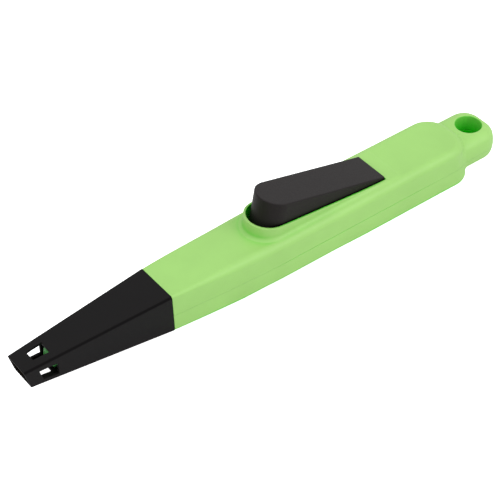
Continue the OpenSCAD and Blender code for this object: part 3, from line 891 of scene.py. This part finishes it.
# ---------------------------------------------------------------- carried CAD pieces
WELD_REACH = 0.001
CAD_EDGE = 0.08
CAD_EDGE_ANGLE = 40
# The electrode holder takes the darker green, with the nozzle's inner shade painted in.
CAD_LOOKS = {"electrode_holder": "core_plastic_painted_shade"}    # the rest take their slot's look

for part in frame["record"]["subparts"]:
    cad = frame["nodes"][part["node"]]
    if cad.hide_render:
        continue
    cad.data.materials.clear()
    cad.data.materials.append(MATERIALS[CAD_LOOKS.get(part["node"], part["material_slot"])])
    weld = cad.modifiers.new("weld", "WELD")
    weld.merge_threshold = WELD_REACH * MM
    bevel = cad.modifiers.new("edges", "BEVEL")
    bevel.width = CAD_EDGE * MM
    bevel.segments = 2
    bevel.limit_method = "ANGLE"
    bevel.angle_limit = math.radians(CAD_EDGE_ANGLE)
    bevel.harden_normals = True

# ---------------------------------------------------------------- stage
CAMERA_TARGET = Vector((118.2 - FRAME_CENTRE, 2.9, 8.1)) * MM
CAMERA_AZIMUTH = math.radians(37.69)
CAMERA_ELEVATION = math.radians(43.09)
CAMERA_DISTANCE = 0.695
LENS = 116.67
SENSOR_WIDTH = 36
FLOOR_REACH = 6.0
FLOOR_GREY = 0.8
SKY_STRENGTH = 0.85


def point(thing, direction):
    """Turns a camera or light, which look along their own -Z, to a direction."""
    thing.rotation_mode = "QUATERNION"
    thing.rotation_quaternion = direction.to_track_quat("-Z", "Y")


def stage_camera():
    aim = Vector((
        math.sin(CAMERA_AZIMUTH) * math.cos(CAMERA_ELEVATION),
        math.cos(CAMERA_AZIMUTH) * math.cos(CAMERA_ELEVATION),
        -math.sin(CAMERA_ELEVATION),
    ))
    data = bpy.data.cameras.new("camera")
    data.lens = LENS
    data.sensor_width = SENSOR_WIDTH
    camera = add_to_scene("camera", data)
    camera.location = CAMERA_TARGET - aim * CAMERA_DISTANCE
    point(camera, aim)
    bpy.context.scene.camera = camera


def floor_material():
    """Plain white to the camera and matt grey to all other light; clear from below."""
    material = bpy.data.materials.new("floor")
    material.use_nodes = True
    tree = material.node_tree
    shader = tree.nodes["Principled BSDF"]
    feed(tree, opaque([FLOOR_GREY] * 3), shader.inputs["Base Color"])
    feed(tree, 0.9, shader.inputs["Roughness"])
    feed(tree, 0.1, shader.inputs["Specular IOR Level"])
    feed(tree, (1, 1, 1, 1), shader.inputs["Emission Color"])
    seen = node(tree, "ShaderNodeLightPath").outputs["Is Camera Ray"]
    feed(tree, seen, shader.inputs["Emission Strength"])
    clear = node(tree, "ShaderNodeBsdfTransparent")
    one_sided = node(tree, "ShaderNodeMixShader")
    feed(tree, node(tree, "ShaderNodeNewGeometry").outputs["Backfacing"], one_sided.inputs[0])
    feed(tree, shader.outputs[0], one_sided.inputs[1])
    feed(tree, clear.outputs[0], one_sided.inputs[2])
    feed(tree, one_sided.outputs[0], tree.nodes["Material Output"].inputs["Surface"])
    return material


def stage_floor():
    low, high = -FLOOR_REACH, FLOOR_REACH
    corners = [(low, low), (high, low), (high, high), (low, high)]
    mesh = bpy.data.meshes.new("floor")
    mesh.from_pydata([(x, y, cad_box[0].z) for x, y in corners], [], [(0, 1, 2, 3)])
    mesh.materials.append(floor_material())
    add_to_scene("floor", mesh)


def softbox(name, place, size, energy):
    """A square light that faces the frame's origin."""
    data = bpy.data.lights.new(name, "AREA")
    data.size = size
    data.energy = energy
    light = add_to_scene(name, data)
    light.location = place
    point(light, -Vector(place))


def stage_light():
    world = bpy.data.worlds.new("studio")
    world.use_nodes = True
    background = world.node_tree.nodes["Background"]
    background.inputs["Color"].default_value = (1, 1, 1, 1)
    background.inputs["Strength"].default_value = SKY_STRENGTH
    bpy.context.scene.world = world
    softbox("top_softbox", (-0.3, -0.2, 1.4), size=1.6, energy=8)
    softbox("side_softbox", (0.63, -0.95, 0.81), size=0.7, energy=5)


stage_camera()
stage_floor()
stage_light()
bpy.context.scene.view_settings.view_transform = "Standard"
